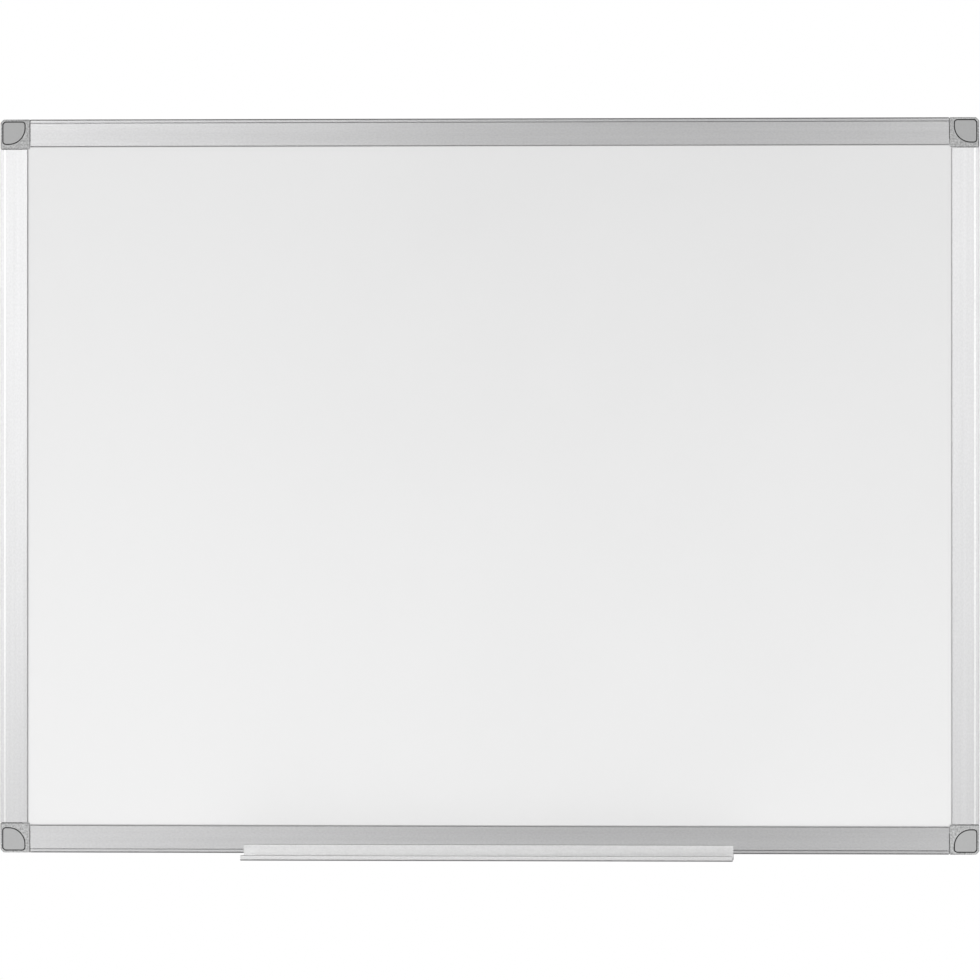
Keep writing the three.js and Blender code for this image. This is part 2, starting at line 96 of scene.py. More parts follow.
SIDE_CARD_MIDDLE = 0.3
END_CARD_DISTANCE = 6.5
END_CARD_SIZE = 9.0

scene.view_settings.view_transform = "Standard"
world = bpy.data.worlds.new("studio")
world.use_nodes = True
scene.world = world
tree = world.node_tree
tree.nodes.clear()
seen = tree.nodes.new("ShaderNodeLightPath")
mirrored = tree.nodes.new("ShaderNodeMath")
mirrored.operation = "MAXIMUM"
through = tree.nodes.new("ShaderNodeMath")
through.operation = "MAXIMUM"
ambient = tree.nodes.new("ShaderNodeBackground")
ambient.inputs["Strength"].default_value = AMBIENT
ambient.inputs["Color"].default_value = (1, 1, 1, 1)
white = tree.nodes.new("ShaderNodeBackground")
white.inputs["Color"].default_value = (1, 1, 1, 1)
choice = tree.nodes.new("ShaderNodeMixShader")
surround = tree.nodes.new("ShaderNodeOutputWorld")
tree.links.new(seen.outputs["Is Camera Ray"], mirrored.inputs[0])
tree.links.new(seen.outputs["Is Glossy Ray"], mirrored.inputs[1])
tree.links.new(mirrored.outputs[0], through.inputs[0])
tree.links.new(seen.outputs["Is Transmission Ray"], through.inputs[1])
tree.links.new(through.outputs[0], choice.inputs[0])
tree.links.new(ambient.outputs[0], choice.inputs[1])
tree.links.new(white.outputs[0], choice.inputs[2])
tree.links.new(choice.outputs[0], surround.inputs["Surface"])


def soft_box(name, place, size, power):
    """A rectangular studio light that faces the board and isn't seen itself."""
    light = bpy.data.lights.new(name, "AREA")
    light.shape = "RECTANGLE"
    light.size, light.size_y = size
    light.energy = power
    box = bpy.data.objects.new(name, light)
    box.location = place
    box.rotation_euler = (-place).to_track_quat("-Z", "Y").to_euler()
    box.visible_camera = False
    scene.collection.objects.link(box)
    return box


soft_box("left_box", **LEFT_BOX)
soft_box("right_box", **RIGHT_BOX)
soft_box("back_box", **BACK_BOX)
soft_box("low_box", **LOW_BOX).visible_glossy = False


def surface(name, colour, roughness, metallic=0.0):
    """A new material with the plain colour and gloss of a surface, and its shader."""
    material = bpy.data.materials.new(name)
    material.use_nodes = True
    shader = material.node_tree.nodes["Principled BSDF"]
    shader.inputs["Base Color"].default_value = colour
    shader.inputs["Roughness"].default_value = roughness
    shader.inputs["Metallic"].default_value = metallic
    return material, shader


def staged(shape, name, place, material):
    """Turns a bmesh into a piece of the studio, turned and placed by a matrix."""
    bmesh.ops.transform(shape, matrix=place, verts=shape.verts)
    mesh = bpy.data.meshes.new(name)
    shape.to_mesh(mesh)
    shape.free()
    mesh.materials.append(material)
    piece = bpy.data.objects.new(name, mesh)
    scene.collection.objects.link(piece)
    return piece


def card(name, width, depth, place, material):
    """A flat rectangle of the studio."""
    shape = bmesh.new()
    bmesh.ops.create_grid(shape, x_segments=1, y_segments=1, size=0.5)
    bmesh.ops.scale(shape, vec=(width, depth, 1), verts=shape.verts)
    return staged(shape, name, place, material)


floor_paint, _ = surface("floor_paint", FLOOR_COLOUR, PAINT_ROUGHNESS)
disc = bmesh.new()
bmesh.ops.create_circle(disc, cap_ends=True, segments=FLOOR_SIDES, radius=FLOOR_RADIUS)
staged(disc, "floor", Matrix.Translation((0, 0, FLOOR_HEIGHT)), floor_paint)


def painted(name, tone):
    """Matt grey paint for one of the studio's cards."""
    return surface(name, (tone, tone, tone, 1), PAINT_ROUGHNESS)[0]


facing_board = Matrix.Rotation(math.pi / 2, 4, "X")
facing_aside = Matrix.Rotation(math.pi / 2, 4, "Y")
flags = []
for name, (way, tone) in END_CARDS.items():
    place = Matrix.Translation((0, way * END_CARD_DISTANCE, 0)) @ facing_board
    paint = painted(f"paint_{name}", tone)
    flags.append(card(f"card_{name}", END_CARD_SIZE, END_CARD_SIZE, place, paint))
for name, level in (("card_above", UPPER_CARD), ("card_below", LOWER_CARD)):
    place = Matrix.Translation((0, level["middle"], level["height"]))
    paint = painted(f"paint_{name}", level["tone"])
    flags.append(card(name, LEVEL_CARD_WIDTH, level["depth"], place, paint))
side_paint = painted("paint_aside", SIDE_CARD_TONE)
for side in (-1, 1):
    upright = Matrix.Translation((side * CARD_ASIDE, SIDE_CARD_MIDDLE, 0)) @ facing_aside
    flags.append(card(f"card_upright_{side + 1}", SIDE_CARD_HEIGHT, SIDE_CARD_DEPTH, upright, side_paint))
for flag in flags:
    flag.visible_camera = flag.visible_diffuse = flag.visible_shadow = False

# The four frame members are hollow aluminium extrusions, sawn square and anodised satin, with a
# chamber for the corners' tenons, a rebate for the panel and two countersunk screw holes. The
# rails have an undercut groove for the tray, the stiles only a shallow one, painted paler than the
# stile as a highlight line. The stiles' anodising is painted darker than the rails' as shade.
HALF_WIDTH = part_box("corner_block_top_right")[1].x
HALF_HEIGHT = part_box("corner_block_top_right")[1].z
RAIL_WIDTH = 0.017
FRAME_DEPTH = 0.014
WALL = 0.0013
WEB_WALL = 0.0012
PANEL_REBATE = 0.004
REAR_SETBACK = 0.0023
REAR_FLANGE = 0.0011
REAR_FLANGE_REACH = 0.003
OUTER_LIP = 0.0021
GROOVE_MOUTH = 0.00035
GROOVE_UNDERCUT = 0.001
GROOVE_POCKET = 0.0016
GROOVE_WALL = 0.001
GROOVE_SIDE_WALL = 0.0015
STILE_GROOVE_WIDTH = 0.0012
STILE_GROOVE_DEPTH = 0.00015
FRONT_BEVEL = 0.0006
BEVEL_RADIUS = 0.0002
GROOVE_EDGE_RADIUS = 0.00006
REAR_EDGE_RADIUS = 0.0006
INSIDE_RADIUS = 0.00025
END_TRIM = 0.0002
FILLET_FACES = 5
SHARP_ANGLE = math.radians(40)
SAME_PLACE = 1e-6
SCREW_FROM_RAIL_END = 0.012
SCREW_HOLE = [(0.0029, -0.001), (0.0029, 0.00035), (0.00155, 0.00175), (0.00155, 0.004)]
SCREW_HOLE_STEPS = 32
NOISE_LOW = 0.25
NOISE_HIGH = 0.75
RAIL_ANODISED = (0.8, 0.8, 0.805)
# Painted shade: the stiles are the rails' extrusion, but their anodising is written darker than the
# rails'.
STILE_ANODISED_PAINTED_SHADE = (0.74, 0.74, 0.745)
# Painted highlight: the stiles' shallow groove is anodised paler so that it shows as a bright line.
STILE_GROOVE_PAINTED_HIGHLIGHT = (0.92, 0.92, 0.92)
DIE_LINE_WIDTH = 0.0004
DIE_LINE_LENGTH = 0.06
DIE_BAND_WIDTH = 0.0035
DIE_BAND_LENGTH = 0.4
DIE_BAND_SHADES = (0.96, 1.04)
DIE_LINE_DEPTH = 0.0000012
ETCH_WIDTH = 0.001
ETCH_LENGTH = 0.0016
ETCH_SHADES = (0.95, 1.05)
ANODISED_ROUGHNESS = (0.37, 0.43)
ACROSS_TANGENT = 0.25
SPREAD_ACROSS = 0.7
SAWN = (0.72, 0.72, 0.73)
SAWN_ROUGHNESS = 0.38
SAWN_SHADES = (0.85, 1.1)
SAW_MARK_WIDTH = 0.00015
SAW_MARK_LENGTH = 0.006
SAW_MARK_DEPTH = 0.000008
SQUARE_CUT = 0.99

WEB_FACE = RAIL_WIDTH - PANEL_REBATE
SLOT_BACK = REAR_SETBACK + REAR_FLANGE
SLOT_FRONT = FRAME_DEPTH - WALL
POCKET_FLOOR = SLOT_FRONT - GROOVE_POCKET
CHAMBER_TOP_STEP = POCKET_FLOOR - GROOVE_WALL
GROOVE_FAR_EDGE = OUTER_LIP + GROOVE_MOUTH
GROOVE_BACK_EDGE = OUTER_LIP - GROOVE_UNDERCUT
CHAMBER_NECK = GROOVE_FAR_EDGE + GROOVE_SIDE_WALL
CHAMBER_INNER = WEB_FACE - WEB_WALL
SCREW_LINE = (WALL + CHAMBER_INNER) / 2

FRONT = Vector((0, -1, 0))
MEMBERS = {
    "top_rail": Vector((0, 0, -1)),
    "bottom_rail": Vector((0, 0, 1)),
    "left_stile": Vector((1, 0, 0)),
    "right_stile": Vector((-1, 0, 0)),
}
OFF_THE_WALL = Matrix.Rotation(-math.pi / 2, 4, "X")


def side_frame(inward):
    """Axes of one side of the board: x inwards from its outer edge, y off the wall, z along it."""
    along = inward.cross(FRONT)
    reach = HALF_WIDTH if inward.x else HALF_HEIGHT
    turn = Matrix((inward, FRONT, along)).transposed().to_4x4()
    return Matrix.Translation(-inward * reach) @ turn


def rounded_loop(shape, corners, faces=FILLET_FACES):
    """A closed wire through (x, y, cut) corners, each cut back that far and rounded."""
    verts = [shape.verts.new((x, y, 0)) for x, y, _ in corners]
    for here, ahead in zip(verts, verts[1:] + verts[:1]):
        shape.edges.new((here, ahead))
    for vert, (_, _, cut) in zip(verts, corners):
        if cut:
            bmesh.ops.bevel(
                shape, geom=[vert], affect="VERTICES", offset=cut, segments=faces, profile=0.5, material=-1
            )


def facing_out(shape):
    """Turns the faces of a closed shape outwards."""
    shape.normal_update()
    bmesh.ops.recalc_face_normals(shape, faces=shape.faces)
    if shape.calc_volume(signed=True) < 0:
        bmesh.ops.reverse_faces(shape, faces=shape.faces)
    return shape


def raised(shape, low, high):
    """Fills the wires in the plane z = 0 and pulls the face up into a closed bar."""
    bmesh.ops.triangle_fill(shape, use_beauty=True, edges=shape.edges[:])
    bar = bmesh.ops.extrude_face_region(shape, geom=shape.faces[:])["geom"]
    top = [part for part in bar if isinstance(part, bmesh.types.BMVert)]
    bmesh.ops.translate(shape, vec=(0, 0, high - low), verts=top)
    bmesh.ops.translate(shape, vec=(0, 0, low), verts=shape.verts)
    return facing_out(shape)


def turned(stations, steps):
    """A closed round piece about the z axis through (radius, height) stations."""
    shape = bmesh.new()
    heights = [stations[0][1], *(height for _, height in stations), stations[-1][1]]
    radii = [0, *(radius for radius, _ in stations), 0]
    wire = [shape.verts.new((radius, 0, height)) for radius, height in zip(radii, heights)]
    for here, ahead in zip(wire, wire[1:]):
        shape.edges.new((here, ahead))
    bmesh.ops.spin(
        shape, geom=shape.verts[:] + shape.edges[:], cent=(0, 0, 0), axis=(0, 0, 1),
        angle=math.tau, steps=steps, use_merge=True,
    )
    bmesh.ops.remove_doubles(shape, verts=shape.verts, dist=SAME_PLACE)
    return facing_out(shape)


def combined(shape, tool, operation):
    """Joins a second closed shape to the first, or cuts it out of it."""
    parts = []
    for part in (shape, tool):
        mesh = bpy.data.meshes.new("part")
        part.to_mesh(mesh)
        part.free()
        parts.append(bpy.data.objects.new("part", mesh))
        scene.collection.objects.link(parts[-1])
    change = parts[0].modifiers.new("change", "BOOLEAN")
    change.solver = "EXACT"
    change.operation = operation
    change.object = parts[1]
    result = bmesh.new()
    result.from_object(parts[0], bpy.context.evaluated_depsgraph_get())
    for part in parts:
        bpy.data.objects.remove(part)
    return result


def finished(shape, name, materials, body, node):
    """Turns a bmesh into a piece of the board that rides on its body and stands for its node."""
    mesh = bpy.data.meshes.new(name)
    shape.to_mesh(mesh)
    shape.free()
    mesh.shade_smooth()
    mesh.set_sharp_from_angle(angle=SHARP_ANGLE)
    for material in materials:
        mesh.materials.append(material)
    piece = bpy.data.objects.new(name, mesh)
    scene.collection.objects.link(piece)
    level_faces = piece.modifiers.new("level_faces", "WEIGHTED_NORMAL")
    level_faces.keep_sharp = True
    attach(piece, body)
    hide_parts(node)
    return piece


def grain(material, sizes, low, high, detail=2.0):
    """A noise with its own grain size along each axis, spread between two values."""
    nodes = material.node_tree.nodes
    links = material.node_tree.links
    place = nodes.new("ShaderNodeTexCoord")
    stretch = nodes.new("ShaderNodeMapping")
    stretch.inputs["Scale"].default_value = [1 / size for size in sizes]
    noise = nodes.new("ShaderNodeTexNoise")
    noise.inputs["Scale"].default_value = 1
    noise.inputs["Detail"].default_value = detail
    spread = nodes.new("ShaderNodeMapRange")
    spread.inputs["From Min"].default_value = NOISE_LOW
    spread.inputs["From Max"].default_value = NOISE_HIGH
    spread.inputs["To Min"].default_value = low
    spread.inputs["To Max"].default_value = high
    links.new(place.outputs["Object"], stretch.inputs["Vector"])
    links.new(stretch.outputs["Vector"], noise.inputs["Vector"])
    links.new(noise.outputs["Fac"], spread.inputs["Value"])
    return spread.outputs["Result"]


def toned(material, shader, colour, share):
    """The shader's colour, lightened and darkened by a pattern."""
    tint = material.node_tree.nodes.new("ShaderNodeVectorMath")
    tint.operation = "SCALE"
    tint.inputs[0].default_value = colour[:3]
    material.node_tree.links.new(share, tint.inputs["Scale"])
    material.node_tree.links.new(tint.outputs["Vector"], shader.inputs["Base Color"])


def relief(material, shader, height, depth):
    """A bump of a real depth on the shader."""
    bump = material.node_tree.nodes.new("ShaderNodeBump")
    bump.inputs["Distance"].default_value = depth
    material.node_tree.links.new(height, bump.inputs["Height"])
    material.node_tree.links.new(bump.outputs["Normal"], shader.inputs["Normal"])


def drawn_out(along, width, length):
    """Grain sizes for a pattern that is drawn out along one axis."""
    return [length if share else width for share in along]


def anodised(name, along, colour, spread):
    """Finely etched, anodised aluminium. Die lines along one axis spread highlights across it."""
    material, shader = surface(name, (*colour, 1), sum(ANODISED_ROUGHNESS) / 2, 1)
    shader.inputs["Anisotropic"].default_value = spread
    shader.inputs["Anisotropic Rotation"].default_value = ACROSS_TANGENT
    direction = material.node_tree.nodes.new("ShaderNodeCombineXYZ")
    for socket, share in zip(direction.inputs, along):
        socket.default_value = share
    material.node_tree.links.new(direction.outputs[0], shader.inputs["Tangent"])
    bands = drawn_out(along, DIE_BAND_WIDTH, DIE_BAND_LENGTH)
    lines = drawn_out(along, DIE_LINE_WIDTH, DIE_LINE_LENGTH)
    etch = drawn_out(along, ETCH_WIDTH, ETCH_LENGTH)
    links = material.node_tree.links
    mottle = material.node_tree.nodes.new("ShaderNodeMath")
    mottle.operation = "MULTIPLY"
    links.new(grain(material, bands, *DIE_BAND_SHADES), mottle.inputs[0])
    links.new(grain(material, etch, *ETCH_SHADES), mottle.inputs[1])
    toned(material, shader, colour, mottle.outputs[0])
    links.new(grain(material, lines, *ANODISED_ROUGHNESS), shader.inputs["Roughness"])
    relief(material, shader, grain(material, lines, 0, 1), DIE_LINE_DEPTH)
    return material


def sawn(name, along):
    """The bare aluminium of a saw cut, with marks that run across the bar."""
    material, shader = surface(name, (*SAWN, 1), SAWN_ROUGHNESS, 1)
    marks = [
        SAW_MARK_WIDTH if share or axis == 1 else SAW_MARK_LENGTH
        for axis, share in enumerate(along)
    ]
    toned(material, shader, SAWN, grain(material, marks, *SAWN_SHADES))
    relief(material, shader, grain(material, marks, 0, 1), SAW_MARK_DEPTH)
    return material


def mark_ends(shape, along):
    """Gives the sawn ends of a bar its second material."""
    for face in shape.faces:
        if abs(face.normal.dot(along)) > SQUARE_CUT:
            face.material_index = 1


def mark_stile_groove(bar):
    """Gives a stile's shallow groove its third material, on the section's axes: a paler anodising painted
    on as a highlight line.
    """
    for face in bar.faces:
        across, depth, _ = face.calc_center_median()
        inside = OUTER_LIP < across < OUTER_LIP + STILE_GROOVE_WIDTH
        if inside and depth > FRAME_DEPTH - STILE_GROOVE_DEPTH * 2:
            face.material_index = 2
        else:
            face.material_index = 0


LEVEL = Vector((1, 0, 0))
UPRIGHT = Vector((0, 0, 1))
sawn_end = sawn("sawn_level", LEVEL)
level_metal = [anodised("anodised_level", LEVEL, RAIL_ANODISED, SPREAD_ACROSS), sawn_end]
upright_metal = [
    anodised("anodised_upright_painted_shade", UPRIGHT, STILE_ANODISED_PAINTED_SHADE, SPREAD_ACROSS),
    sawn("sawn_upright", UPRIGHT),
    anodised("anodised_groove_painted_highlight", UPRIGHT, STILE_GROOVE_PAINTED_HIGHLIGHT, SPREAD_ACROSS),
]
for member, inward in MEMBERS.items():
    lowest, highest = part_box(member)
    length = (highest.z - lowest.z if inward.x else highest.x - lowest.x) - 2 * END_TRIM
    groove = [
        (GROOVE_FAR_EDGE, FRAME_DEPTH, GROOVE_EDGE_RADIUS),
        (GROOVE_FAR_EDGE, POCKET_FLOOR, INSIDE_RADIUS),
        (GROOVE_BACK_EDGE, POCKET_FLOOR, INSIDE_RADIUS),
        (GROOVE_BACK_EDGE, SLOT_FRONT, INSIDE_RADIUS),
        (OUTER_LIP, SLOT_FRONT, INSIDE_RADIUS),
        (OUTER_LIP, FRAME_DEPTH, GROOVE_EDGE_RADIUS),
    ]
    outer_edge = [
        (FRONT_BEVEL, FRAME_DEPTH, BEVEL_RADIUS),
        (0, FRAME_DEPTH - FRONT_BEVEL, BEVEL_RADIUS),
    ]
    if inward.x:
        stile_groove_end = OUTER_LIP + STILE_GROOVE_WIDTH
        groove = [
            (stile_groove_end, FRAME_DEPTH, STILE_GROOVE_DEPTH / 2),
            (stile_groove_end, FRAME_DEPTH - STILE_GROOVE_DEPTH, 0),
            (OUTER_LIP, FRAME_DEPTH - STILE_GROOVE_DEPTH, 0),
            (OUTER_LIP, FRAME_DEPTH, STILE_GROOVE_DEPTH / 2),
        ]
        outer_edge = [(0, FRAME_DEPTH, BEVEL_RADIUS)]
    bar = bmesh.new()
    rounded_loop(bar, [
        (0, 0, REAR_EDGE_RADIUS),
        (WEB_FACE, 0, INSIDE_RADIUS),
        (WEB_FACE, REAR_SETBACK, INSIDE_RADIUS),
        (WEB_FACE + REAR_FLANGE_REACH, REAR_SETBACK, INSIDE_RADIUS),
        (WEB_FACE + REAR_FLANGE_REACH, SLOT_BACK, INSIDE_RADIUS),
        (WEB_FACE, SLOT_BACK, INSIDE_RADIUS),
        (WEB_FACE, SLOT_FRONT, INSIDE_RADIUS),
        (RAIL_WIDTH, SLOT_FRONT, INSIDE_RADIUS),
        (RAIL_WIDTH, FRAME_DEPTH - FRONT_BEVEL, BEVEL_RADIUS),
        (RAIL_WIDTH - FRONT_BEVEL, FRAME_DEPTH, BEVEL_RADIUS),
        *groove,
        *outer_edge,
    ])
    rounded_loop(bar, [
        (WALL, WALL, INSIDE_RADIUS),
        (CHAMBER_INNER, WALL, INSIDE_RADIUS),
        (CHAMBER_INNER, SLOT_FRONT, INSIDE_RADIUS),
        (CHAMBER_NECK, SLOT_FRONT, INSIDE_RADIUS),
        (CHAMBER_NECK, CHAMBER_TOP_STEP, INSIDE_RADIUS),
        (WALL, CHAMBER_TOP_STEP, INSIDE_RADIUS),
    ])
    raised(bar, -length / 2, length / 2)
    for end in (-1, 1):
        hole = turned(SCREW_HOLE, SCREW_HOLE_STEPS)
        from_middle = end * (length / 2 + END_TRIM - SCREW_FROM_RAIL_END)
        spot = Matrix.Translation((SCREW_LINE, 0, from_middle)) @ OFF_THE_WALL
        bmesh.ops.transform(hole, matrix=spot, verts=hole.verts)
        bar = combined(bar, hole, "DIFFERENCE")
    if inward.x:
        mark_stile_groove(bar)
    bmesh.ops.transform(bar, matrix=side_frame(inward), verts=bar.verts)
    mark_ends(bar, UPRIGHT if inward.x else LEVEL)
    metal = upright_metal if inward.x else level_metal
    finished(bar, f"{member}_extrusion", metal, "board", member)

# The corners are injection moulded in grey ABS with a fine spark-eroded grain. Each plugs into two
# members with forked tenons and closes their joints with a low step. A rougher recess in its front,
# painted near black as shade so that the seam round the cap reads as a deep shadow gap, holds the
# cap over the wall screw's well, and its back is cored out round the boss.
BLOCK_SIZE = 0.018
BLOCK_FRONT = FRAME_DEPTH + 0.0004
BLOCK_CORNER_CUT = 0.002
BLOCK_CORNER_ROUNDING = 0.0005
BLOCK_SIDE_RADIUS = 0.00055
BLOCK_END_RADIUS = 0.0003
BLOCK_EDGE_RADIUS = 0.0005
SHOULDER_HEIGHT = 0.0004
SHOULDER_SETBACK = 0.0004
SHOULDER_DEPTH = 0.0015
SEAT_GAP = 0.0003
TENON_TIP = 0.042
TENON_ROOT = 0.0165
TENON_TIP_CHAMFER = 0.0005
TENON_EDGE_RADIUS = 0.0006
TENON_SLOT = 0.0018
TENON_SLOT_FLOOR = 0.0076
TENON_ROUNDING_FACES = 3
PILOT_HOLE = [(0.00155, -0.001), (0.00155, 0.0052), (0.0002, 0.0068)]
PILOT_STEPS = 24
BLOCK_ROUNDING_FACES = 10
RECESS_ROUNDING_FACES = 16
EDGE_FACES = 4
RIM_FACES = 2
CHAMFER_FACES = 1
CORING_WALL = 0.0018
CORING_CORNER_RADIUS = 0.0016
CORING_DEPTH = 0.0055
RIB_THICKNESS = 0.0014
BOSS_RADIUS = 0.0043
BOSS_STEPS = 48
RECESS_NEAR = 0.00118
RECESS_FAR = 0.01552
RECESS_FLOOR = BLOCK_FRONT - 0.0016
RECESS_CORNER_CUT = 0.00155
RECESS_CORNER_ROUNDING = 0.00035
RECESS_SIDE_RADIUS = 0.0022
RECESS_ARC_RADIUS = 0.0104
RECESS_RIM_RADIUS = 0.00012
RECESS_MARGIN = 0.0005
RECESS_FLOOR_MARGIN = 0.00005
WELL_CENTRE = 0.0078
WELL_RIM_RADIUS = 0.0002
WELL = [(0.0025, -0.001), (0.0025, 0.0059), (0.0044, 0.0078), (0.005, 0.0078), (0.005, BLOCK_FRONT)]
PEG_PLACES = [(0.00335, 0.01335), (0.01335, 0.00335)]
PEG_HOLE = [(0.0012, 0.0098), (0.0012, BLOCK_FRONT)]
PEG_HOLE_STEPS = 24
# Painted shade: the recess is near black so that the seam round each cap reads as a deep shadow gap.
RECESS_PAINTED_SHADE_GREY = (0.06, 0.06, 0.06)
RECESS_ROUGHNESS = 0.7
CLEAR = 0.001
ABS_GREY = (0.475, 0.478, 0.478)
ABS_ROUGHNESS = 0.55
ABS_DETAIL = 3
ABS_GRAIN = 0.0004
ABS_SPECKLE = 0.0011
ABS_SPECKLE_SHARE = 0.45
ABS_GRAIN_DEPTH = 0.00002


def corner_frame(inward):
    """Axes of a corner of the board: x and y inwards from its two outer edges, z off the wall."""
    along = inward.cross(FRONT)
    across, length = (HALF_WIDTH, HALF_HEIGHT) if inward.x else (HALF_HEIGHT, HALF_WIDTH)
    turn = Matrix((inward, -along, FRONT)).transposed().to_4x4()
    return Matrix.Translation(along * length - inward * across) @ turn


def bar_of(corners, low, high, faces=FILLET_FACES):
    """A closed bar with a rounded outline between two heights."""
    shape = bmesh.new()
    rounded_loop(shape, corners, faces)
    return raised(shape, low, high)


def soften(shape, height, radius, faces):
    """Rounds off the sharp outward edges that lie at one height."""
    rim = [
        edge for edge in shape.edges
        if all(abs(vert.co.z - height) < SAME_PLACE for vert in edge.verts)
        and edge.calc_face_angle_signed(0) > SHARP_ANGLE
    ]
    bmesh.ops.bevel(
        shape, geom=rim, affect="EDGES", offset=radius, segments=faces, profile=0.5, material=-1
    )


def lying(shape, first_axis):
    """Lays a bar that stands on the corner's plane along one of its outer edges."""
    order = {"x": ((0, 0, 1), (1, 0, 0), (0, 1, 0)), "y": ((1, 0, 0), (0, 0, 1), (0, 1, 0))}
    bmesh.ops.transform(shape, matrix=Matrix(order[first_axis]).to_4x4(), verts=shape.verts)
    return facing_out(shape)


def tenon():
    """One forked tenon on the section's axes, drilled for its frame screw."""
    low = WALL + SEAT_GAP
    high = CHAMBER_INNER - SEAT_GAP
    top = SLOT_FRONT - SEAT_GAP
    neck = CHAMBER_NECK + SEAT_GAP
    shoulder = CHAMBER_TOP_STEP - SEAT_GAP
    slot_middle = (neck + high) / 2
    slot_low = slot_middle - TENON_SLOT / 2
    slot_high = slot_middle + TENON_SLOT / 2
    leg = bar_of([
        (low, low, TENON_EDGE_RADIUS),
        (high, low, TENON_EDGE_RADIUS),
        (high, top, TENON_EDGE_RADIUS),
        (slot_high, top, TENON_EDGE_RADIUS),
        (slot_high, TENON_SLOT_FLOOR, TENON_EDGE_RADIUS),
        (slot_low, TENON_SLOT_FLOOR, TENON_EDGE_RADIUS),
        (slot_low, top, TENON_EDGE_RADIUS),
        (neck, top, TENON_EDGE_RADIUS),
        (neck, shoulder, TENON_EDGE_RADIUS),
        (low, shoulder, TENON_EDGE_RADIUS),
    ], TENON_ROOT, TENON_TIP, TENON_ROUNDING_FACES)
    soften(leg, TENON_TIP, TENON_TIP_CHAMFER, CHAMFER_FACES)
    pilot = turned(PILOT_HOLE, PILOT_STEPS)
    from_edge = BLOCK_SIZE + SEAT_GAP + SCREW_FROM_RAIL_END
    spot = Matrix.Translation((SCREW_LINE, 0, from_edge)) @ OFF_THE_WALL
    bmesh.ops.transform(pilot, matrix=spot, verts=pilot.verts)
    return combined(leg, pilot, "DIFFERENCE")


def shoulder(turned_over):
    """The low step that closes the joint between a corner and one of its two members."""
    low, high = BLOCK_SIZE - CLEAR, BLOCK_SIZE + SHOULDER_HEIGHT
    near, far = SHOULDER_SETBACK, WEB_FACE - SHOULDER_SETBACK
    corners = [(low, near, 0), (high, near, 0), (high, far, 0), (low, far, 0)]
    if turned_over:
        corners = [(y, x, 0) for x, y, _ in corners]
    return bar_of(corners, SHOULDER_SETBACK, FRAME_DEPTH - SHOULDER_DEPTH)


def pockets():
    """The hollows in a corner's back, round its screw boss and ribs."""
    near = CORING_WALL
    far = BLOCK_SIZE - CORING_WALL
    seat = WEB_FACE - CORING_WALL
    hollow = bar_of([
        (near, near, CORING_CORNER_RADIUS),
        (far, near, INSIDE_RADIUS),
        (far, seat, INSIDE_RADIUS),
        (seat, seat, INSIDE_RADIUS),
        (seat, far, INSIDE_RADIUS),
        (near, far, INSIDE_RADIUS),
    ], -CLEAR, CORING_DEPTH)
    past_low = -CLEAR - CLEAR
    past_high = CORING_DEPTH + CLEAR
    boss = turned([(BOSS_RADIUS, past_low), (BOSS_RADIUS, past_high)], BOSS_STEPS)
    bmesh.ops.translate(boss, vec=(WELL_CENTRE, WELL_CENTRE, 0), verts=boss.verts)
    hollow = combined(hollow, boss, "DIFFERENCE")
    low = WELL_CENTRE - RIB_THICKNESS / 2
    high = WELL_CENTRE + RIB_THICKNESS / 2
    for left, below, right, above in ((0, low, BLOCK_SIZE, high), (low, 0, high, BLOCK_SIZE)):
        corners = [(left, below, 0), (right, below, 0), (right, above, 0), (left, above, 0)]
        rib = bar_of(corners, past_low, past_high)
        hollow = combined(hollow, rib, "DIFFERENCE")
    return hollow


def cap_outline(inset):
    """The D of the recess, or of the cap that lies in it, with its large arc towards the board."""
    near = RECESS_NEAR + inset
    far = RECESS_FAR - inset
    side = RECESS_SIDE_RADIUS - inset
    cut = near + RECESS_CORNER_CUT - inset * (2 - math.sqrt(2))
    return [
        (near, cut, RECESS_CORNER_ROUNDING),
        (cut, near, RECESS_CORNER_ROUNDING),
        (far, near, side),
        (far, far, RECESS_ARC_RADIUS - inset),
        (near, far, side),
    ]


def corner_moulding():
    """One corner in its own axes."""
    block = bar_of([
        (0, BLOCK_CORNER_CUT, BLOCK_CORNER_ROUNDING),
        (BLOCK_CORNER_CUT, 0, BLOCK_CORNER_ROUNDING),
        (BLOCK_SIZE, 0, BLOCK_END_RADIUS),
        (BLOCK_SIZE, BLOCK_SIZE, BLOCK_SIDE_RADIUS),
        (0, BLOCK_SIZE, BLOCK_END_RADIUS),
    ], 0, BLOCK_FRONT, BLOCK_ROUNDING_FACES)
    soften(block, BLOCK_FRONT, BLOCK_EDGE_RADIUS, EDGE_FACES)
    soften(block, 0, BLOCK_EDGE_RADIUS / 2, RIM_FACES)
    for turned_over in (False, True):
        block = combined(block, shoulder(turned_over), "UNION")
    block = combined(block, lying(tenon(), "y"), "UNION")
    block = combined(block, lying(tenon(), "x"), "UNION")
    recess = bar_of(cap_outline(0), RECESS_FLOOR, BLOCK_FRONT + CLEAR, RECESS_ROUNDING_FACES)
    block = combined(block, recess, "DIFFERENCE")
    soften(block, BLOCK_FRONT, RECESS_RIM_RADIUS, RIM_FACES)
    block = combined(block, pockets(), "DIFFERENCE")
    well = turned(WELL, BOSS_STEPS)
    bmesh.ops.translate(well, vec=(WELL_CENTRE, WELL_CENTRE, 0), verts=well.verts)
    block = combined(block, well, "DIFFERENCE")
    for x, y in PEG_PLACES:
        hole = turned(PEG_HOLE, PEG_HOLE_STEPS)
        bmesh.ops.translate(hole, vec=(x, y, 0), verts=hole.verts)
        block = combined(block, hole, "DIFFERENCE")
    soften(block, RECESS_FLOOR, WELL_RIM_RADIUS, RIM_FACES)
    past = BLOCK_SIZE + CLEAR
    notch = [(WEB_FACE, WEB_FACE, 0), (past, WEB_FACE, 0), (past, past, 0), (WEB_FACE, past, 0)]
    return combined(block, bar_of(notch, SLOT_BACK, SLOT_FRONT), "DIFFERENCE")


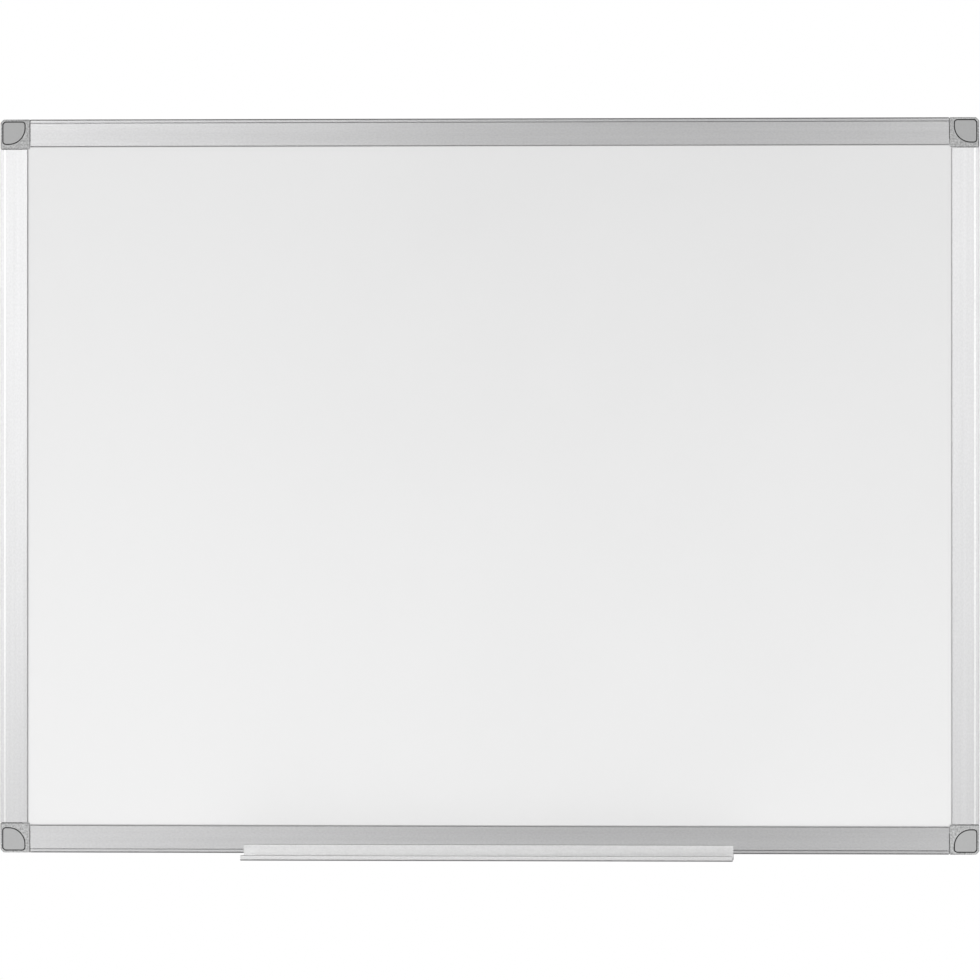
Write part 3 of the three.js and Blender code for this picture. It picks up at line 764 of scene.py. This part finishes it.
def moulded(name, colour, roughness, speckle_share, grain_depth):
    """Grey moulded plastic with an eroded grain and the pale and dark specks it leaves."""
    material, shader = surface(name, (*colour, 1), roughness)
    speckle = grain(material, [ABS_SPECKLE] * 3, 1 - speckle_share, 1 + speckle_share, ABS_DETAIL)
    toned(material, shader, colour, speckle)
    relief(material, shader, grain(material, [ABS_GRAIN] * 3, 0, 1, ABS_DETAIL), grain_depth)
    return material


CORNERS = {
    "bottom_right": MEMBERS["bottom_rail"],
    "top_right": MEMBERS["right_stile"],
    "top_left": MEMBERS["top_rail"],
    "bottom_left": MEMBERS["left_stile"],
}
corner_looks = {
    "corner_abs": (ABS_GREY, ABS_ROUGHNESS),
    "corner_recess_abs_painted_shade": (RECESS_PAINTED_SHADE_GREY, RECESS_ROUGHNESS),
}
corner_plastics = [
    moulded(name, *look, ABS_SPECKLE_SHARE, ABS_GRAIN_DEPTH)
    for name, look in corner_looks.items()
]
one_corner = corner_moulding()
# The recess walls and floor take the near-black recess material, painted shade for the seam round the cap.
for face in one_corner.faces:
    x, y, z = face.calc_center_median()
    inside = RECESS_NEAR / 2 < min(x, y) and max(x, y) < RECESS_FAR + RECESS_MARGIN
    sunk = RECESS_FLOOR - RECESS_FLOOR_MARGIN < z < BLOCK_FRONT - RECESS_MARGIN
    face.material_index = int(inside and sunk)
for corner, inward in CORNERS.items():
    block = one_corner.copy()
    bmesh.ops.transform(block, matrix=corner_frame(inward), verts=block.verts)
    name = f"corner_moulding_{corner}"
    finished(block, name, corner_plastics, "board", f"corner_block_{corner}")
one_corner.free()

# The caps are D-shaped covers moulded in the same grey with a smoother face. Each presses into the
# recess of its corner on two pegs and pulls off to the front to reach the wall screw.
CAP_GAP = 0.00062
CAP_FRONT = BLOCK_FRONT + 0.00015
CAP_BACK = RECESS_FLOOR + SEAT_GAP
CAP_EDGE_RADIUS = 0.0002
CAP_BACK_RADIUS = 0.0001
PEG = [(0.0006, 0.0101), (0.0007, 0.0102), (0.0009, CAP_BACK + CAP_EDGE_RADIUS)]
PEG_STEPS = 32
CAP_GREY = (0.45, 0.452, 0.452)
CAP_ROUGHNESS = 0.42
CAP_SPECKLE_SHARE = 0.03
CAP_GRAIN_DEPTH = 0.000006


def cap():
    """One cap in the axes of its corner."""
    plate = bar_of(cap_outline(CAP_GAP), CAP_BACK, CAP_FRONT, RECESS_ROUNDING_FACES)
    soften(plate, CAP_FRONT, CAP_EDGE_RADIUS, EDGE_FACES)
    soften(plate, CAP_BACK, CAP_BACK_RADIUS, CHAMFER_FACES)
    for x, y in PEG_PLACES:
        peg = turned(PEG, PEG_STEPS)
        bmesh.ops.translate(peg, vec=(x, y, 0), verts=peg.verts)
        plate = combined(plate, peg, "UNION")
    return plate


cap_plastic = moulded("cap_abs", CAP_GREY, CAP_ROUGHNESS, CAP_SPECKLE_SHARE, CAP_GRAIN_DEPTH)
one_cap = cap()
for corner, inward in CORNERS.items():
    plate = one_cap.copy()
    bmesh.ops.transform(plate, matrix=corner_frame(inward), verts=plate.verts)
    name = f"corner_cover_{corner}"
    finished(plate, name, [cap_plastic], f"cap_{corner}", f"corner_cap_{corner}")
one_cap.free()

# The panel is three sheets glued into one: a melamine-faced writing sheet with a gloss that wipes
# clean, a fibreboard core and a paper that balances it on the back. The frame grips its edges.
MELAMINE = (0.86, 0.86, 0.86)
MELAMINE_GLOSS = 0.35
MELAMINE_SHADES = (0.995, 1.005)
MELAMINE_ROUGHNESS = (0.19, 0.25)
MELAMINE_CLOUD = 0.12
MELAMINE_PEEL = 0.0016
MELAMINE_PEEL_DEPTH = 0.000003
FIBREBOARD = (0.36, 0.25, 0.15)
FIBRE_ROUGHNESS = 0.9
FIBRE_SHADES = (0.75, 1.2)
FIBRE_DETAIL = 4
FIBRE_WIDTH = 0.0004
FIBRE_LENGTH = 0.0022
FIBRE_DEPTH = 0.00006
BACKING = (0.56, 0.55, 0.53)
BACKING_ROUGHNESS = 0.75
BACKING_SHADES = (0.93, 1.06)
BACKING_FLECK = 0.0011
BACKING_DETAIL = 5
BACKING_DEPTH = 0.00002

melamine, shader = surface("melamine_gloss", (*MELAMINE, 1), sum(MELAMINE_ROUGHNESS) / 2)
shader.inputs["Specular IOR Level"].default_value = MELAMINE_GLOSS
clouds = [MELAMINE_CLOUD] * 3
toned(melamine, shader, MELAMINE, grain(melamine, clouds, *MELAMINE_SHADES))
gloss = grain(melamine, clouds, *MELAMINE_ROUGHNESS)
melamine.node_tree.links.new(gloss, shader.inputs["Roughness"])
relief(melamine, shader, grain(melamine, [MELAMINE_PEEL] * 3, 0, 1), MELAMINE_PEEL_DEPTH)

fibreboard, shader = surface("fibreboard", (*FIBREBOARD, 1), FIBRE_ROUGHNESS)
fibres = [FIBRE_LENGTH, FIBRE_WIDTH, FIBRE_LENGTH]
toned(fibreboard, shader, FIBREBOARD, grain(fibreboard, fibres, *FIBRE_SHADES, FIBRE_DETAIL))
relief(fibreboard, shader, grain(fibreboard, fibres, 0, 1, FIBRE_DETAIL), FIBRE_DEPTH)

backing, shader = surface("backing_paper", (*BACKING, 1), BACKING_ROUGHNESS)
flecks = [BACKING_FLECK] * 3
toned(backing, shader, BACKING, grain(backing, flecks, *BACKING_SHADES, BACKING_DETAIL))
relief(backing, shader, grain(backing, flecks, 0, 1, BACKING_DETAIL), BACKING_DEPTH)

sheets = {"writing_surface": melamine, "core_board": fibreboard, "backing_sheet": backing}
for sheet, material in sheets.items():
    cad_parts[sheet].material_slots[0].material = material

# The frame screws are zinc-plated countersunk self-tappers with a cross recess. They go in from the
# back, two to each member, and cut their thread into the corners' tenons.
SCREW_HEAD = [(0.0026, 0.00015), (0.0027, 0.00022), (0.0027, 0.00035), (0.0011, 0.00175)]
SCREW_CORE = [(0.00105, 0.0051), (0.00004, 0.0066)]
SCREW_STEPS = 40
THREAD_CREST = 0.00135
THREAD_ROOT = 0.0009
THREAD_HALF_HEIGHT = 0.00035
THREAD_START = 0.0022
THREAD_PITCH = 0.0011
THREAD_TURNS = 2.75
THREAD_STEPS = 20
CROSS_ARM = 0.0014
CROSS_WIDTH = 0.00042
CROSS_DEPTH = 0.0011
CROSS_TAPER = 0.45
ZINC = (0.68, 0.7, 0.73)
ZINC_ROUGHNESS = (0.26, 0.4)
ZINC_SHADES = (0.9, 1.08)
ZINC_SPANGLE = 0.0004
ZINC_DETAIL = 1


def thread():
    """The screw's ridge: a triangle carried round the core and down it."""
    ridge = bmesh.new()
    wedge = [
        ridge.verts.new((THREAD_ROOT, 0, THREAD_START - THREAD_HALF_HEIGHT)),
        ridge.verts.new((THREAD_CREST, 0, THREAD_START)),
        ridge.verts.new((THREAD_ROOT, 0, THREAD_START + THREAD_HALF_HEIGHT)),
    ]
    sides = [ridge.edges.new((wedge[corner], wedge[corner - 1])) for corner in range(3)]
    bmesh.ops.spin(
        ridge, geom=wedge + sides, cent=(0, 0, 0), axis=(0, 0, 1),
        dvec=(0, 0, THREAD_PITCH / THREAD_STEPS),
        angle=math.tau * THREAD_TURNS, steps=round(THREAD_STEPS * THREAD_TURNS),
    )
    bmesh.ops.holes_fill(ridge, edges=ridge.edges, sides=3)
    return facing_out(ridge)


def cross_recess():
    """The driver's cross, narrowing as it goes down."""
    half = CROSS_WIDTH / 2
    quarter = [(CROSS_ARM, -half), (CROSS_ARM, half), (half, half)]
    corners = []
    for turn in range(4):
        facing = Matrix.Rotation(turn * math.pi / 2, 2)
        corners += [(*(facing @ Vector(corner)), 0) for corner in quarter]
    cross = bar_of(corners, -CROSS_DEPTH, CROSS_DEPTH)
    tip = [vert for vert in cross.verts if vert.co.z > 0]
    bmesh.ops.scale(cross, vec=(CROSS_TAPER, CROSS_TAPER, 1), verts=tip)
    return cross


zinc, shader = surface("zinc_plate", (*ZINC, 1), sum(ZINC_ROUGHNESS) / 2, 1)
spangles = [ZINC_SPANGLE] * 3
toned(zinc, shader, ZINC, grain(zinc, spangles, *ZINC_SHADES, ZINC_DETAIL))
zinc.node_tree.links.new(grain(zinc, spangles, *ZINC_ROUGHNESS), shader.inputs["Roughness"])
one_screw = combined(turned(SCREW_HEAD + SCREW_CORE, SCREW_STEPS), thread(), "UNION")
one_screw = combined(one_screw, cross_recess(), "DIFFERENCE")
for member, inward in MEMBERS.items():
    for end in ("top", "bottom") if inward.x else ("left", "right"):
        lowest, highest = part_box(f"{member}_screw_{end}")
        middle = (lowest + highest) / 2
        along = inward.cross(FRONT)
        spot = Matrix.Translation((SCREW_LINE, 0, middle.dot(along))) @ OFF_THE_WALL
        screw = one_screw.copy()
        bmesh.ops.transform(screw, matrix=side_frame(inward) @ spot, verts=screw.verts)
        name = f"{member}_fixing_{end}"
        finished(screw, name, [zinc], "board", f"{member}_screw_{end}")
one_screw.free()

# The pen tray is a thin anodised extrusion, sawn to length. Its flange lies over the bottom rail's
# face, a tongue hooks into the groove, a heel bears up under the rail and a lip keeps the pens in.
TRAY_WALL = 0.0011
TRAY_FLANGE_BACK = FRAME_DEPTH + SEAT_GAP
TRAY_FLANGE_FRONT = TRAY_FLANGE_BACK + TRAY_WALL
TRAY_COVER = 0.0055
TRAY_UNDERSIDE = -0.0035
TRAY_SHELF = TRAY_UNDERSIDE + TRAY_WALL
TRAY_LIP_HEIGHT = 0.0033
TRAY_LIP_TOP = TRAY_UNDERSIDE + TRAY_LIP_HEIGHT
TRAY_LIP_FRONT = 0.04
TRAY_LIP_BACK = 0.039
TRAY_HEEL_BACK = 0.008
TRAY_HEEL_FRONT = 0.009
TRAY_BEND_RADIUS = 0.0008
TRAY_EDGE_RADIUS = 0.0003
TONGUE_RADIUS = 0.00008
TONGUE_GAP = 0.00006
TRAY_LIP_ROUNDING = 0.00048
TRAY_END_RADIUS = 0.00006
TRAY_ANODISED = (0.87, 0.87, 0.87)
TRAY_SPREAD = 0.15

tray = bar_of([
    (TRAY_UNDERSIDE, TRAY_HEEL_BACK, TRAY_EDGE_RADIUS),
    (-SEAT_GAP, TRAY_HEEL_BACK, TRAY_EDGE_RADIUS),
    (-SEAT_GAP, TRAY_HEEL_FRONT, TRAY_EDGE_RADIUS),
    (TRAY_SHELF, TRAY_HEEL_FRONT, TRAY_EDGE_RADIUS),
    (TRAY_SHELF, TRAY_FLANGE_BACK, TRAY_EDGE_RADIUS),
    (OUTER_LIP + TONGUE_GAP, TRAY_FLANGE_BACK, TONGUE_RADIUS),
    (OUTER_LIP + TONGUE_GAP, SLOT_FRONT - SEAT_GAP, TONGUE_RADIUS),
    (GROOVE_BACK_EDGE + SEAT_GAP, SLOT_FRONT - SEAT_GAP, TONGUE_RADIUS),
    (GROOVE_BACK_EDGE + SEAT_GAP, POCKET_FLOOR + SEAT_GAP, TONGUE_RADIUS),
    (GROOVE_FAR_EDGE - TONGUE_GAP, POCKET_FLOOR + SEAT_GAP, TONGUE_RADIUS),
    (GROOVE_FAR_EDGE - TONGUE_GAP, TRAY_FLANGE_BACK, TONGUE_RADIUS),
    (TRAY_COVER, TRAY_FLANGE_BACK, TRAY_EDGE_RADIUS),
    (TRAY_COVER, TRAY_FLANGE_FRONT, TRAY_EDGE_RADIUS),
    (TRAY_SHELF, TRAY_FLANGE_FRONT, TRAY_EDGE_RADIUS),
    (TRAY_SHELF, TRAY_LIP_BACK, TRAY_EDGE_RADIUS),
    (TRAY_LIP_TOP, TRAY_LIP_BACK, TRAY_LIP_ROUNDING),
    (TRAY_LIP_TOP, TRAY_LIP_FRONT, TRAY_LIP_ROUNDING),
    (TRAY_UNDERSIDE, TRAY_LIP_FRONT, TRAY_BEND_RADIUS),
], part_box("pen_tray")[0].x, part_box("pen_tray")[1].x)
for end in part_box("pen_tray"):
    soften(tray, end.x, TRAY_END_RADIUS, RIM_FACES)
bmesh.ops.transform(tray, matrix=side_frame(MEMBERS["bottom_rail"]), verts=tray.verts)
mark_ends(tray, LEVEL)
tray_metal = [anodised("anodised_tray", LEVEL, TRAY_ANODISED, TRAY_SPREAD), sawn_end]
finished(tray, "tray_extrusion", tray_metal, "tray", "pen_tray")
